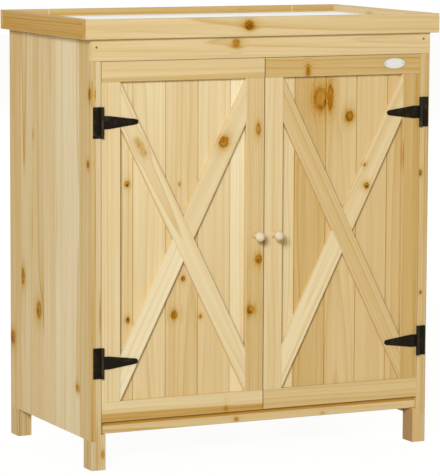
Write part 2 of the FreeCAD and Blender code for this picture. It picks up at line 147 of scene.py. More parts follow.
class CabinetFittings(PropertyGroup):
    """Screws, nails and the oval plate."""
    screw_radius: a_length("Screw radius", "Radius of a hinge screw's head", 3.1 * MM)
    screw_height: a_length("Screw height", "Height of a hinge screw's head", 1.2 * MM)
    nail_radius: a_length("Nail radius", "Radius of a nail's head", 2.1 * MM)
    nail_brown: a_colour("Nail brown", "Stained steel of the nails", "50381C")
    nail_rust: a_colour("Nail rust", "The palest stain on the nails", "7E5E34")
    plate_length: a_length("Plate length", "Length of the oval plate", 50 * MM)
    plate_height: a_length("Plate height", "Height of the oval plate", 22 * MM)
    plate_thick: a_length("Plate thickness", "Thickness of the oval plate", 1.1 * MM)
    plate_cream: a_colour("Plate face", "The bare face of the oval plate", "E6E4DE")
    plate_edge: a_colour("Plate edge", "The rim of the oval plate", "A5A196")


class CabinetStudio(PropertyGroup):
    """The floor, the lamps and the camera."""
    floor_grey: a_colour("Floor", "Colour of the floor under its glow", "CFC9BC")
    sky_level: FloatProperty(name="Sky", description="Brightness of the white room",
                             default=0.28, min=0)
    sky_tint: a_colour("Sky tint", "Colour that the room throws on the cabinet", "FFE9BF")
    key_power: a_power("Key light", "Power of the large lamp at the front left", 884)
    key_tint: a_colour("Key tint", "Colour of the key light, cooler than the room", "F5FAFF")
    side_power: a_power("Side light", "Power of the lamp beside the left end", 51)
    fill_power: a_power("Fill light", "Power of the lamp on the right", 20)
    back_power: a_power("Back light", "Power of the lamp behind the cabinet", 330)
    focal_length: FloatProperty(name="Focal length", description="Lens of the camera",
                                default=217.75, min=1, unit="CAMERA")


# Shader maths

def maths_operator(operation, reflected=False):
    """An operator of Value: it adds one Math node."""
    def apply(value, *others):
        terms = (*others, value) if reflected else (value, *others)
        return value.finish.maths(operation, *terms)
    return apply


class Value:
    """A socket that takes part in Python arithmetic."""

    def __init__(self, finish, socket):
        self.finish = finish
        self.socket = socket

    __add__ = maths_operator("ADD")
    __radd__ = maths_operator("ADD", reflected=True)
    __sub__ = maths_operator("SUBTRACT")
    __rsub__ = maths_operator("SUBTRACT", reflected=True)
    __mul__ = maths_operator("MULTIPLY")
    __rmul__ = maths_operator("MULTIPLY", reflected=True)
    __truediv__ = maths_operator("DIVIDE")
    __rtruediv__ = maths_operator("DIVIDE", reflected=True)
    __pow__ = maths_operator("POWER")
    __gt__ = maths_operator("GREATER_THAN")
    __abs__ = maths_operator("ABSOLUTE")
    __floor__ = maths_operator("FLOOR")


class Finish:
    """A material, or the world, in the making."""

    def __init__(self, name, kind="materials"):
        self.made = getattr(bpy.data, kind).new(name)
        self.made.use_nodes = True
        self.tree = self.made.node_tree
        self.tree.nodes.clear()

    def node(self, kind, settings=None, inputs=None, output=0):
        """One node: its settings first, then the values or links of its sockets."""
        node = self.tree.nodes.new(kind)
        for key, value in (settings or {}).items():
            if key == "stops":
                self.set_stops(node.color_ramp, value)
            elif key == "ramp":
                node.color_ramp.interpolation = value
            else:
                setattr(node, key, value)
        for key, value in (inputs or {}).items():
            if isinstance(value, Value):
                self.tree.links.new(value.socket, node.inputs[key])
            else:
                node.inputs[key].default_value = value
        return Value(self, node.outputs[output])

    def outputs(self, value):
        """All the outputs of the node that a value comes from."""
        return [Value(self, socket) for socket in value.socket.node.outputs]

    @staticmethod
    def set_stops(ramp, stops):
        """Gives a ramp its stops: pairs of a position and a number or a colour."""
        while len(ramp.elements) < len(stops):
            ramp.elements.new(1)
        for element, (position, value) in zip(ramp.elements, stops):
            element.position = position
            element.color = (*value, 1) if hasattr(value, "__len__") else (value, value, value, 1)

    def maths(self, operation, *terms):
        return self.node("ShaderNodeMath", {"operation": operation}, dict(enumerate(terms)))

    def vector(self, operation, *terms, output=0):
        return self.node("ShaderNodeVectorMath", {"operation": operation}, dict(enumerate(terms)),
                         output)

    def dot(self, first, second):
        return self.vector("DOT_PRODUCT", first, second, output="Value")

    def length(self, vector):
        return self.vector("LENGTH", vector, output="Value")

    def combine(self, x, y, z):
        return self.node("ShaderNodeCombineXYZ", None, {0: x, 1: y, 2: z})

    def mix(self, factor, first, second):
        """A blend of two colours."""
        ends = [end if isinstance(end, Value) else (*end, 1) for end in (first, second)]
        return self.node("ShaderNodeMix", {"data_type": "RGBA"},
                         {0: factor, 6: ends[0], 7: ends[1]}, 2)

    def ramp(self, factor, stops, kind="LINEAR"):
        return self.node("ShaderNodeValToRGB", {"ramp": kind, "stops": stops}, {0: factor})

    def step(self, value, start, end):
        """Rises smoothly from 0 at start to 1 at end."""
        return self.node("ShaderNodeMapRange", {"interpolation_type": "SMOOTHSTEP"},
                         {0: value, 1: start, 2: end})

    def noise(self, place, grains, detail=2.0, roughness=0.5):
        """Noise between 0 and 1, its grains per metre given once or along each axis."""
        if not isinstance(grains, tuple):
            grains = (grains,) * 3
        stretched = self.vector("MULTIPLY", place, grains)
        return self.node("ShaderNodeTexNoise", None, {"Vector": stretched, "Scale": 1.0,
                                                      "Detail": detail, "Roughness": roughness})

    def white_noise(self, seed, output=0):
        return self.node("ShaderNodeTexWhiteNoise", {"noise_dimensions": "1D"}, {"W": seed}, output)

    def place(self):
        """The place of a point in the cabinet, which rides with its door."""
        return self.node("ShaderNodeTexCoord", output="Object")

    def relief(self, height, distance, strength=1.0):
        return self.node("ShaderNodeBump", None,
                         {"Height": height, "Distance": distance, "Strength": strength})

    def surface(self, constants, **links):
        """The shader and the output: constants on its own sockets, links where it varies."""
        inputs = dict(constants)
        inputs.update({key.replace("_", " "): value for key, value in links.items()})
        return self.show(self.node("ShaderNodeBsdfPrincipled", None, inputs))

    def show(self, shader, kind="ShaderNodeOutputMaterial"):
        output = self.tree.nodes.new(kind)
        self.tree.links.new(shader.socket, output.inputs[0])
        return self.made

    def seen_directly(self):
        """1 for rays from the camera, mirrors and glass, 0 for light that falls on surfaces."""
        path = self.outputs(self.node("ShaderNodeLightPath"))
        rays = {value.socket.name: value for value in path}
        seen = self.maths("MAXIMUM", rays["Is Camera Ray"], rays["Is Glossy Ray"])
        return self.maths("MAXIMUM", seen, rays["Is Transmission Ray"])


# Timbers and their knots

class Timber:
    """How the wood of a node lies: its middle, and which way its grain, width and depth run.

    tones gives one tone per board, from 0, cream, to 1, the heart of a knot. Boards in a row are
    told apart by their pitch, and pieces that stand apart by which.
    """

    def __init__(self, node, along, across, *tones, which=None):
        low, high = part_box(node)
        self.node = node
        self.middle = (low + high) / 2
        self.along = along
        self.across = across
        self.depth = along.cross(across)
        self.tones = tones
        self.which = which
        self.boards = len(tones) if which is None else 1
        width = self.extent(across, high - low) + (BOARD_CLEARANCE if self.boards > 1 else 0)
        self.pitch = width / self.boards
        self.thick = self.extent(self.depth, high - low)

    @staticmethod
    def extent(direction, size):
        return sum(abs(part) * length for part, length in zip(direction, size))

    def board_at(self, across):
        """The number of the board, counted from the low side of the row."""
        return math.floor(across / self.pitch + self.boards / 2)

    def middle_of(self, board):
        """How far a board's middle lies from the middle of the row."""
        return (board - (self.boards - 1) / 2) * self.pitch


Mark = namedtuple("Mark", "place width length depth heart board")


def mark(x, y, z, width, length=None, depth=1.0, heart=0.15, board=0):
    """A knot, or a streak of resin, at a place in metres and with a size in millimetres.

    depth scales how much darker it is than the wood, heart how much darker still its middle is,
    and board tells which piece of its node it is on, where these stand apart.
    """
    return Mark(Vector((x, y, z)), width * MM, (length or 1.2 * width) * MM, depth, heart, board)


def spots(*rows):
    """Marks on front pieces: x and z in millimetres, then the shape."""
    return [mark(x * MM, FRONT, z * MM, *shape) for x, z, *shape in rows]


def side_spots(x, *rows):
    """Marks on a side at x: y and z in millimetres, then the shape."""
    return [mark(x * MM, y * MM, z * MM, *shape) for y, z, *shape in rows]


def level_spots(z, *rows):
    """Marks on level boards at z: x and y in millimetres, then the shape."""
    return [mark(x * MM, y * MM, z * MM, *shape) for x, y, *shape in rows]


NO_TINT = (1, 1, 1)
# Cooler, greyer pine: partly the boards' own tone, partly a painted sheen and cooler light such as
# left-facing faces and the feet show
COOL_SHEEN_TINT = (0.965, 1.02, 1.17)
FOOT_SHEEN_TINT = (0.94, 1.1, 1.6)
KNOT_REACH = 4.0
KNOT_BODY = [(0.0, 0.40), (0.08, 0.33), (0.15, 0.40), (0.21, 0.49), (0.26, 0.27), (0.4, 0.12),
             (0.62, 0.04), (1.0, 0.0)]
RESIN_STREAK = [(0.0, 0.3), (0.2, 0.2), (0.5, 0.0), (1.0, 0.0)]
LATEWOOD = [(0.0, 0.0), (0.35, 0.08), (0.72, 0.45), (0.9, 1.0), (1.0, 0.0)]
ARRIS_WIDTH = 1.6 * MM
WORN_SHARE = 0.35
KNOB_SHARE = 0.75


def tinted(colour, tint, share):
    """A colour times a share of a tint, of which dark wood takes less."""
    return tuple(part * (1 + (stain - 1) * share) for part, stain in zip(colour, tint))


def tell_boards_apart(wood, timber, chance, place, across):
    """The board of a point, its place across that board, the board's tone and three chances."""
    board = 0.0
    if timber.which is not None:
        board = timber.which(wood, place)
    elif timber.boards > 1:
        board = timber.board_at(across)
        across = across - timber.middle_of(board)
    parts = len(timber.tones)
    if parts == 1:
        return board, across, timber.tones[0], [chance.random() for _ in range(3)]
    colour = wood.white_noise(board + chance.uniform(3, 90), "Color")
    picks = wood.outputs(wood.node("ShaderNodeSeparateColor", None, {0: colour}))
    starts = [(number / parts, tone) for number, tone in enumerate(timber.tones)]
    return board, across, wood.ramp((board + 0.5) / parts, starts, "CONSTANT"), picks


def add_marks(wood, timber, chance, knots, streaks, across, board, along, ripple):
    """Knots push the grain aside and stain it, and streaks of resin stain it."""
    here = wood.combine(across, board, along)
    pulled = across
    surround = 0.0
    for number, blemish in enumerate((*knots, *streaks)):
        offset = blemish.place - timber.middle
        mark_across = offset.dot(timber.across)
        mark_board = blemish.board
        if timber.boards > 1:
            mark_board = timber.board_at(mark_across)
            mark_across -= timber.middle_of(mark_board)
        away = wood.vector("SUBTRACT", here, (mark_across, mark_board, offset.dot(timber.along)))
        away = wood.vector("MULTIPLY", away, (2 / blemish.width, 9, 2 / blemish.length))
        distance = wood.length(away)
        near = wood.step(distance, KNOT_REACH, 0.0)
        if number < len(knots):
            pulled = pulled - (across - mark_across) * near * 0.85
            stain = wood.ramp(distance * (0.7 + 0.6 * ripple) / KNOT_REACH, KNOT_BODY)
            lean = (chance.uniform(-0.3, 0.3), 0, chance.uniform(-0.4, 0.2))
            middle = wood.length(wood.vector("SUBTRACT", away, lean))
            stain = stain + wood.step(middle * (0.5 + ripple), 0.6, 0.15) * blemish.heart
        else:
            stain = wood.ramp(distance / KNOT_REACH, RESIN_STREAK)
        surround = surround + stain * blemish.depth
    return pulled, surround


def growth_rings(wood, spacing, board, picks, pulled, depth, along, wander, slope):
    """How late in its year a point's wood grew, in rings round a pith outside the board."""
    pick_across, pick_depth, pick_slope = picks
    ring_across = pulled + (pick_across - 0.5) * 0.09 + (wander - 0.5) * 0.012
    ring_depth = depth + 0.02 + pick_depth * 0.05 + along * (pick_slope - 0.5) * 2 * slope
    radius = (ring_across ** 2 + ring_depth ** 2) ** 0.5
    turn = radius / spacing + wander * 2.5
    ring = math.floor(turn)
    late = wood.ramp(turn - ring, LATEWOOD)
    year = wood.white_noise(ring + board * 37.0)
    return late * (0.3 + 1.7 * year ** 2)


def planed_pine(context, timber, knots=(), streaks=(), change=None, turned=None, contrast=1.0,
                slope=0.012, seam=0.0, tint=NO_TINT):
    """Planed pine for one node, with the growth rings, fibres and knots of each of its boards.

    slope is how far the rings run out along a board, and seam how much darker the joints of a row
    are. change gives the tone where a piece differs from the rest, and turned that of a knob.
    """
    pine = context.scene.cabinet_pine
    chance = random.Random(timber.node)
    wood = Finish(timber.node)
    place = wood.place()
    local = wood.vector("SUBTRACT", place, timber.middle)
    across = wood.dot(local, timber.across)
    depth = wood.dot(local, timber.depth)
    along = wood.dot(local, timber.along)
    board, across, base, picks = tell_boards_apart(wood, timber, chance, place, across)

    # Each board is cut from its own place in the log
    shift = wood.vector("MULTIPLY_ADD", wood.combine(board, board, board), (0.31, 0.23, 1.7),
                        tuple(chance.uniform(0, 9) for _ in range(3)))
    lie = wood.vector("ADD", wood.combine(across, depth, along), shift)
    wander = wood.noise(lie, (9, 9, 2.2), 1.0)
    ripple = wood.noise(lie, (220, 220, 150))
    pulled, surround = add_marks(wood, timber, chance, knots, streaks, across, board, along, ripple)
    late = growth_rings(wood, pine.ring_spacing, board, picks, pulled, depth, along, wander, slope)

    # Fibres, broad streaks and the worn arrises
    fibre = wood.noise(lie, (1300, 1300, 22), 2.0, 0.6)
    streak = wood.noise(lie, (60, 45, 1.0), 4.0, 0.7)
    thread = wood.noise(lie, (380, 380, 4.5), 3.0, 0.65)
    half_width = timber.pitch / 2
    edge_across = abs(across) - (half_width - ARRIS_WIDTH)
    edge_depth = abs(depth) - (timber.thick / 2 - ARRIS_WIDTH)
    arris = wood.step(edge_across + edge_depth, -0.4 * MM, 2.2 * MM)

    tone = base + (streak - 0.5) * (0.32 * contrast) + (late - 0.2) * (0.12 * contrast)
    tone = tone + (thread - 0.5) * (0.20 * contrast) + (fibre - 0.5) * (0.08 * contrast) + surround
    if timber.boards > 1:
        tone = tone + wood.step(abs(across), half_width - 1.7 * MM, half_width - 0.3 * MM) * seam
    else:
        sawn = wood.step(abs(across), half_width - 0.9 * MM, half_width - 0.4 * MM)
        arris = wood.maths("MAXIMUM", arris, sawn)
    if change is not None:
        tone = change(wood, place, tone)
    roughness = 0.56 - late * 0.06 + (fibre - 0.5) * 0.16 - arris * 0.05
    height = fibre * 0.55 + late * 0.45
    if turned is not None:
        tone, height, knob_past_neck_shade = turned(wood, place, tone, height)

    palette = [(0.0, pine.cream), (0.15, pine.pale), (0.35, pine.straw), (0.55, pine.honey),
               (0.70, pine.amber), (0.85, pine.knot_brown), (1.0, pine.knot_heart)]
    colour = wood.ramp(tone, [(at, tinted(shade, tint, 1 - at ** 2)) for at, shade in palette])
    if timber.boards == 1:
        colour = wood.mix(arris * WORN_SHARE, colour, pine.worn)
    if turned is not None:
        colour = wood.mix(knob_past_neck_shade * KNOB_SHARE, colour, pine.knob_beige)
    return wood.surface({"Specular IOR Level": 0.08}, Base_Color=colour, Roughness=roughness,
                        Normal=wood.relief(height, pine.grain_relief, 0.5))


def shade_past(direction, start, end, rise):
    """A change of tone that grows along a direction, from 0 at start to rise at end."""
    def change(wood, place, tone):
        return tone + wood.step(wood.dot(place, direction), start, end) * rise
    return change


def band_below(level, rise, tilt=0.0):
    """Darker wood in a rail below a level, whose edge may tilt along the rail."""
    return shade_past((tilt, 0, 1), level + 2.5 * MM, level - 2.5 * MM, rise)


def count_past(direction, *levels):
    """Tells pieces apart by how many of the levels they lie past."""
    def which(wood, place):
        return sum(wood.dot(place, direction) > level for level in levels)
    return which


def dress(node, material):
    """Gives a node of the frame its material."""
    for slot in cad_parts[node].material_slots:
        slot.material = material


def dress_in_pine(context, timber, knots=(), **ways):
    dress(timber.node, planed_pine(context, timber, knots, **ways))


# Metal, plastic and enamel

def coated_black(context):
    """Black coating on pressed steel: a fine texture, worn smoother in places, and a painted
    highlight along each barrel.
    """
    black = context.scene.cabinet_metal.hinge_black
    coat = Finish("hinge_black")
    place = coat.place()
    grit = coat.noise(place, 1400)
    rub = coat.noise(place, 70, 3.0)
    # The paler colour of the worn patches and of the painted barrel highlight
    rub_and_highlight = tuple(part * 4 + 0.01 for part in black)
    # Painted highlight: a paler line along the front of each barrel, broken up by the wear noise
    barrel_front = LEAF_FACE - BARREL_REACH
    barrel_highlight = coat.step(coat.dot(place, Y_AXIS), barrel_front, barrel_front - 2 * MM) * rub
    colour = coat.mix(coat.step(rub, 0.5, 0.8) * 0.7 + barrel_highlight, black, rub_and_highlight)
    return coat.surface({"Specular IOR Level": 0.08}, Base_Color=colour,
                        Roughness=0.36 + rub * 0.18 + (grit - 0.5) * 0.1,
                        Normal=coat.relief(grit, 0.08 * MM, 0.5))


def zinc_coated(name, shade, grains):
    """Zinc on steel: flat crystals of slightly different grey, and fine scratches."""
    coat = Finish(name)
    place = coat.place()
    crystals = coat.node("ShaderNodeTexVoronoi", {"feature": "F1"},
                         {"Vector": place, "Scale": grains, "Randomness": 1.0}, "Color")
    crystal = coat.dot(crystals, (0.5, 0.3, 0.2))
    scratches = coat.noise(place, (12, 900, 900))
    cloud = coat.noise(place, 9, 3.0)
    light = (1.0 - (crystal - 0.5) * 0.08) - scratches * 0.03 - cloud * 0.04
    return coat.surface({"Metallic": 1.0}, Base_Color=coat.mix(light, dimmed(shade, 0.6), shade),
                        Roughness=0.34 + crystal * 0.1 + (scratches - 0.5) * 0.12,
                        Normal=coat.relief(cloud * 0.7 + scratches * 0.05, 0.25 * MM, 0.4))


def moulded_plastic(context):
    """The case of a magnetic catch: fine moulding texture, and dust in places."""
    light = context.scene.cabinet_metal.catch_white
    case = Finish("door_catches")
    place = case.place()
    texture = case.noise(place, 900)
    dust = case.noise(place, 60, 3.0)
    colour = case.mix(case.step(dust, 0.45, 0.75), light, dimmed(light, 0.88))
    return case.surface({"Specular IOR Level": 0.4}, Base_Color=colour,
                        Roughness=0.42 + dust * 0.2, Normal=case.relief(texture, 0.06 * MM, 0.4))


def stained_steel(context):
    """The heads of nails that the weather has stained."""
    fittings = context.scene.cabinet_fittings
    steel = Finish("apron_nails")
    stain = steel.noise(steel.place(), 700)
    colour = steel.mix(stain, fittings.nail_brown, fittings.nail_rust)
    return steel.surface({"Metallic": 0.3}, Base_Color=colour, Roughness=0.5 + stain * 0.2,
                         Normal=steel.relief(stain, 0.05 * MM, 0.5))


def plate_enamel(context):
    """Pale enamel with a grey rim and a fine grey line inside it."""
    fittings = context.scene.cabinet_fittings
    enamel = Finish("oval_plate")
    place = enamel.place()
    away = enamel.vector("MULTIPLY", enamel.vector("SUBTRACT", place, PLATE_MIDDLE),
                         (2 / fittings.plate_length, 0, 2 / fittings.plate_height))
    reach = enamel.length(away)
    cloud = enamel.noise(place, 220)
    speck = enamel.noise(place, 1500)
    face = enamel.mix(cloud, fittings.plate_cream, dimmed(fittings.plate_cream, 0.93))
    line = enamel.step(abs(reach - 0.76), 0.05, 0.01) * 0.45
    colour = enamel.mix(enamel.step(reach, 0.88, 0.94) + line, face, fittings.plate_edge)
    roughness = 0.3 + cloud * 0.12 + enamel.step(reach, 0.86, 0.95) * 0.1
    return enamel.surface({"Specular IOR Level": 0.5}, Base_Color=colour, Roughness=roughness,
                          Normal=enamel.relief(speck * 0.3 + cloud, 0.08 * MM, 0.3))


# Small pieces

def facing(place, direction, turn=0.0):
    """The frame of a small piece at a place: its own Z looks along direction."""
    rotation = direction.to_track_quat("Z", "Y").to_matrix().to_4x4()
    return Matrix.Translation(place) @ rotation @ Matrix.Rotation(turn, 4, "Z")


def join_rings(mesh, rings):
    """Faces between each ring of points and the next."""
    for outer, inner in zip(rings, rings[1:]):
        for step in range(len(outer)):
            after = (step + 1) % len(outer)
            mesh.faces.new((outer[step], outer[after], inner[after], inner[step]))


def add_head(mesh, setting, long_radius, short_radius, profile, segments, closed=True):
    """An oval head on a flat base: a ring for each inset from its edge and height."""
    rings = []
    for inset, height in profile:
        ring = []
        for step in range(segments):
            angle = 2 * math.pi * step / segments
            point = Vector(((long_radius - inset) * math.cos(angle),
                            (short_radius - inset) * math.sin(angle), height))
            ring.append(mesh.verts.new(setting @ point))
        rings.append(ring)
    join_rings(mesh, rings)
    mesh.faces.new(list(reversed(rings[0])))
    if closed:
        mesh.faces.new(rings[-1])
    return rings


def pan_head(mesh, setting, radius, height):
    """A domed screw head with a cross recess."""
    profile = [(0, 0), (0, 0.25 * height), (0.06 * radius, 0.5 * height),
               (0.2 * radius, 0.76 * height), (0.38 * radius, 0.92 * height)]
    rings = add_head(mesh, setting, radius, radius, profile, 24, closed=False)
    arm = 0.5 * radius
    half = 0.13 * radius
    corners = [(arm, -half), (arm, half), (half, half)]
    cross = []
    for _ in range(4):
        cross += corners
        corners = [(-y, x) for x, y in corners]
    loops = [[mesh.verts.new(setting @ Vector((x * scale, y * scale, level))) for x, y in cross]
             for scale, level in ((1.0, 0.96 * height), (0.72, 0.3 * height))]
    join_rings(mesh, loops)
    mesh.faces.new(loops[1])
    edges = [mesh.edges.get((ring[step], ring[(step + 1) % len(ring)]))
             for ring in (rings[-1], loops[0]) for step in range(len(ring))]
    bmesh.ops.bridge_loops(mesh, edges=edges)


def add_object(name, data):
    made = bpy.data.objects.new(name, data)
    bpy.context.scene.collection.objects.link(made)
    return made


def add_mesh(name, mesh, material):
    """Puts a finished mesh in the scene."""
    data = bpy.data.meshes.new(name)
    mesh.to_mesh(data)
    mesh.free()
    data.materials.append(material)
    return add_object(name, data)


def add_piece(name, mesh, material, body):
    """Puts a small piece on its body, its arrises sharp."""
    bmesh.ops.recalc_face_normals(mesh, faces=mesh.faces)
    for face in mesh.faces:
        face.smooth = True
    piece = add_mesh(name, mesh, material)
    piece.data.set_sharp_from_angle(angle=math.radians(38))
    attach(piece, body)


# The operators, one for each group of pieces

class CABINET_OT_tray(Operator):
    """Pine for the four rim boards of the tray and for the deck inside it, zinc for its sheet"""
    bl_idname = "cabinet.dress_tray"
    bl_label = "Worktop tray"

    def execute(self, context):
        outer_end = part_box("tray_front")[0].x

        def lengths_joined(wood, place, tone):
            """The back board is jointed of three lengths, with a pale line at each joint."""
            joint = abs(wood.dot(place, X_AXIS) + 7 * MM) - 271 * MM
            return tone - wood.step(abs(joint), 1.9 * MM, 1.0 * MM) * 0.2

        # The front board's end lies in the same plane as the left end board, and is as dark
        darker_end = shade_past(X_AXIS, outer_end + 0.9 * MM, outer_end + 0.1 * MM, 0.27)
        dress_in_pine(context, Timber("tray_front", X_AXIS, Z_AXIS, 0.34),
                      spots((-38.4, 834.2, 18, 18)), slope=0.02, change=darker_end)
        dress_in_pine(context, Timber("tray_back", X_AXIS, Z_AXIS, 0.56), spots((150, 824, 12)),
                      change=lengths_joined)
        dress_in_pine(context, Timber("left_tray_end", Y_AXIS, Z_AXIS, 0.65),
                      contrast=0.8, slope=0.02, tint=COOL_SHEEN_TINT)
        dress_in_pine(context, Timber("right_tray_end", Y_AXIS, Z_AXIS, 0.34),
                      side_spots(375, (60, 830, 13)))
        dress_in_pine(context, Timber("deck_boards", X_AXIS, Y_AXIS, 0.4, 0.33, 0.45, 0.36, 0.5,
                                      0.38))
        dress_in_pine(context, Timber("deck_battens", Y_AXIS, X_AXIS, 0.42, 0.36, 0.48,
                                      which=count_past(X_AXIS, -0.1, 0.1)))
        sheet_grey = context.scene.cabinet_metal.sheet_grey
        dress("worktop_sheet", zinc_coated("worktop_sheet", sheet_grey, 70))
        return {"FINISHED"}


class CABINET_OT_legs(Operator):
    """Pine for the four legs and the blocks at their feet"""
    bl_idname = "cabinet.dress_legs"
    bl_label = "Legs"

    def execute(self, context):
        def darker_foot(wood, place, tone):
            """Feet are darker than the legs above, on one side by a strip of heartwood; inner faces
            take painted shade.
            """
            low_down = wood.step(wood.dot(place, Z_AXIS), 0.14, 0.05)
            heartwood = wood.step(abs(wood.dot(place, X_AXIS) + 351 * MM), 6 * MM, 2 * MM)
            # Painted shade on the inner face of each front foot, under the sill
            shaded_inner_face = wood.step(abs(wood.dot(place, X_AXIS)), 332.5 * MM, 331.2 * MM)
            return tone + low_down * (0.06 + heartwood * 0.2 + shaded_inner_face * 0.33)

        def foot_number(wood, place):
            return (wood.dot(place, X_AXIS) > 0) + (wood.dot(place, Y_AXIS) > 0) * 2

        darker_rear_foot = shade_past(Z_AXIS, 0.08, 0.05, 0.2)
        legs = {
            "left_leg_front": (0.36, spots((-336, 29.5, 8, 14, 0.7)), darker_foot,
                               spots((-342.4, 296, 2.4, 64, 1.2))),
            "right_leg_front": (0.42, spots((341.4, 537.5, 7, 10), (346, 300, 5)), darker_foot, ()),
            "left_leg_rear": (0.31, side_spots(-340, (210, 610, 11)), darker_rear_foot, ()),
            "right_leg_rear": (0.38, side_spots(340, (206, 330, 10)), darker_rear_foot, ()),
        }
        for name, (tone, knots, foot, streaks) in legs.items():
            dress_in_pine(context, Timber(name, Z_AXIS, X_AXIS, tone), knots, streaks=streaks,
                          change=foot, tint=COOL_SHEEN_TINT if "left" in name else NO_TINT)
        dress_in_pine(context, Timber("foot_blocks", Z_AXIS, Y_AXIS, 0.57, 0.54, 0.55, 0.54,
                                      which=foot_number), tint=FOOT_SHEEN_TINT)
        return {"FINISHED"}


class CABINET_OT_sides(Operator):
    """Pine for the upright boards of both sides and of the back, and for the rails behind them"""
    bl_idname = "cabinet.dress_sides"
    bl_label = "Sides and back"

    def execute(self, context):
        # The edge of the first board lies in the front of the leg and is as pale; it is also a
        # painted highlight offsetting the groove's shade
        pale_edge_highlight = shade_past(Y_AXIS, FRONT + 0.9 * MM, FRONT + 0.1 * MM, -0.12)
        left = Timber("left_side_boards", Z_AXIS, Y_AXIS, 0.49, 0.28, 0.26, 0.38, 0.43, 0.42, 0.51)
        knots = side_spots(-359, (154, 327, 21, 32, 0.95, 0.18), (68, 271, 24, 32, 0.95, 0.18),
                           (208, 197, 21, 26, 0.95, 0.18), (-127, 147, 15, 14, 0.8),
                           (-178, 579, 10, 13), (-187, 711, 11, 20, 0.9), (99.8, 613, 12, 20, 0.4))
        dress_in_pine(context, left, knots, contrast=1.4, seam=0.14, tint=COOL_SHEEN_TINT, change=pale_edge_highlight)
        right = Timber("right_side_boards", Z_AXIS, Y_AXIS, 0.4, 0.33, 0.48, 0.36, 0.3, 0.44, 0.39)
        knots = side_spots(359, (150, 610, 13, 18), (20, 380, 9, 12), (-60, 655, 15, 20),
                           (-160, 240, 11, 15), (95, 160, 12, 17), (-110, 470, 8, 10, 0.7))
        dress_in_pine(context, right, knots, contrast=1.3, seam=0.14, tint=COOL_SHEEN_TINT)
        back = Timber("back_boards", Z_AXIS, X_AXIS, 0.38, 0.45, 0.33, 0.41, 0.36, 0.5, 0.31, 0.43,
                      0.37, 0.46)
        knots = spots((-290, 640, 13, 18), (-215, 250, 10, 14), (-120, 520, 15, 20),
                      (-40, 150, 11, 15), (35, 700, 9, 12), (110, 330, 16, 21),
                      (170, 590, 8, 11), (240, 190, 13, 17), (315, 430, 12, 16))
        dress_in_pine(context, back, knots, contrast=1.2, seam=0.14)
        for name, along in (("left_side_rails", Y_AXIS), ("right_side_rails", Y_AXIS),
                            ("back_rails", X_AXIS)):
            dress_in_pine(context, Timber(name, along, Z_AXIS, 0.46, 0.38, 0.42,
                                          which=count_past(Z_AXIS, 0.2, 0.6)))
        return {"FINISHED"}


class CABINET_OT_front_rails(Operator):
    """Pine for the apron, the head rail and the sill"""
    bl_idname = "cabinet.dress_front_rails"
    bl_label = "Front rails"

    def execute(self, context):
        dress_in_pine(context, Timber("front_apron", X_AXIS, Z_AXIS, 0.34),
                      spots((-61.7, 801.3, 15, 15, 0.9)), slope=0.02)
        dress_in_pine(context, Timber("head_rail", X_AXIS, Z_AXIS, 0.42), spots((90, 790, 11)))
        dress_in_pine(context, Timber("front_sill", X_AXIS, Z_AXIS, 0.38),
                      spots((-53.7, 74.7, 8, 9, 0.8), (133.7, 72, 6, 8, 0.6)))
        return {"FINISHED"}


class CABINET_OT_inside(Operator):
    """Pine for the floor, the shelf and what carries them, plastic for the catches"""
    bl_idname = "cabinet.dress_inside"
    bl_label = "Inside"

    def execute(self, context):
        front_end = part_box("floor_boards")[0].y

        def end_grain_and_shade(wood, place, tone):
            """The front ends of the boards are darker: end grain, and painted shade from the doors
            above them.
            """
            end = wood.step(wood.dot(place, Y_AXIS), front_end + 1.2 * MM, front_end + 0.2 * MM)
            return tone + (0.7 - tone) * end

        floor = Timber("floor_boards", Y_AXIS, X_AXIS, 0.42, 0.35, 0.4, 0.31, 0.46, 0.37, 0.33,
                       0.44, 0.39, 0.36)
        knots = level_spots(92, (-250, -20, 11), (-30, 90, 14), (180, -80, 10))
        dress_in_pine(context, floor, knots, change=end_grain_and_shade)
        shelf = Timber("shelf_boards", X_AXIS, Y_AXIS, 0.36, 0.44, 0.33, 0.4, 0.38)
        knots = level_spots(429, (-150, -90, 12), (90, 40, 14), (230, 130, 9))
        dress_in_pine(context, shelf, knots)
        dress_in_pine(context, Timber("shelf_batten", Y_AXIS, X_AXIS, 0.41))
        dress_in_pine(context, Timber("floor_ledger", X_AXIS, Z_AXIS, 0.45))
        dress("door_catches", moulded_plastic(context))
        return {"FINISHED"}


